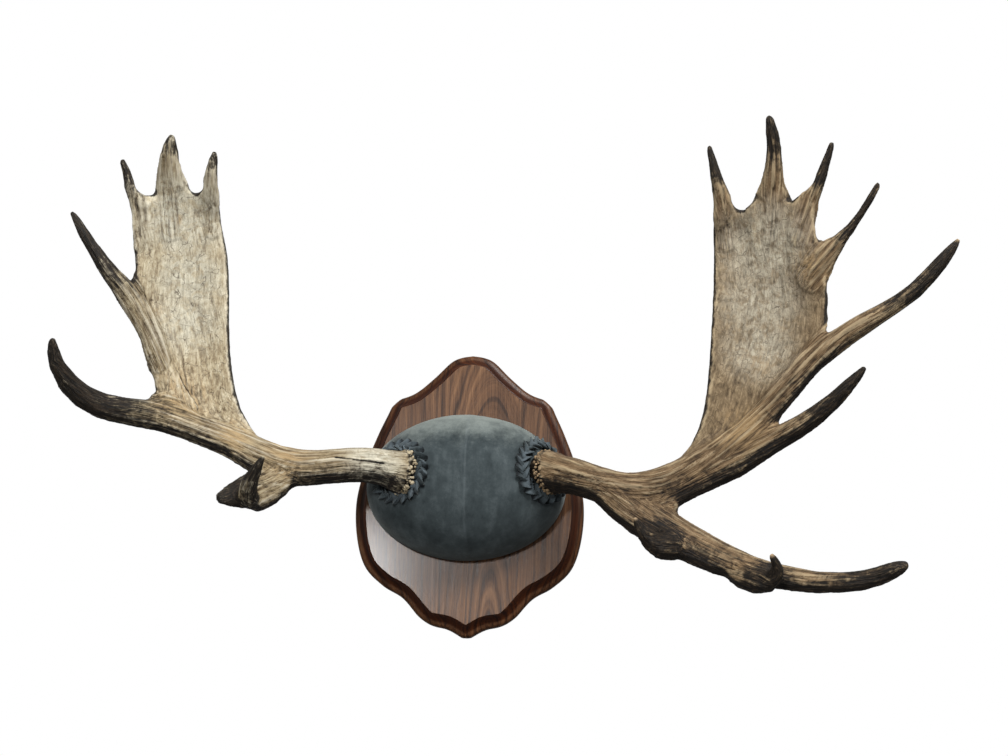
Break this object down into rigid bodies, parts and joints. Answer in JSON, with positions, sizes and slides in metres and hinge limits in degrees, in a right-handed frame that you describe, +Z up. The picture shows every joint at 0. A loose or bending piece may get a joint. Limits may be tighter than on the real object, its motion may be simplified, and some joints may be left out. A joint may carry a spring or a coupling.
{
  "type": "mounted moose antler pair",
  "caption": "Pair of palmate moose antlers rising from a suede-covered skull plate, fixed to a walnut trophy shield with a moulded edge.",
  "frame": {"origin": "centre of the shield's flat back, where it lies against the wall", "axes": "+X to the right as seen from the front, +Y into the wall, +Z up; the trophy faces -Y"},
  "size_m": [1.2585, 0.3276, 0.7153],
  "materials": {
    "walnut": "oiled walnut, satin",
    "screw_steel": "plain",
    "suede": "slate grey suede, matt",
    "antler": null
  },
  "bodies": {
    "root": {"shield": "walnut", "shield_screw_1": "screw_steel", "shield_screw_2": "screw_steel", "shield_screw_3": "screw_steel", "skull_cover": "suede", "leather_collar_left": "suede", "leather_collar_right": "suede", "antler_left_beam": "antler", "antler_left_palm": "antler", "antler_left_brow": "antler", "antler_left_hooked_tine": "antler", "antler_left_long_tine": "antler", "antler_right_beam": "antler", "antler_right_palm": "antler", "antler_right_brow": "antler", "antler_right_lower_tine": "antler", "antler_right_long_tine": "antler"}
  },
  "joints": []
}
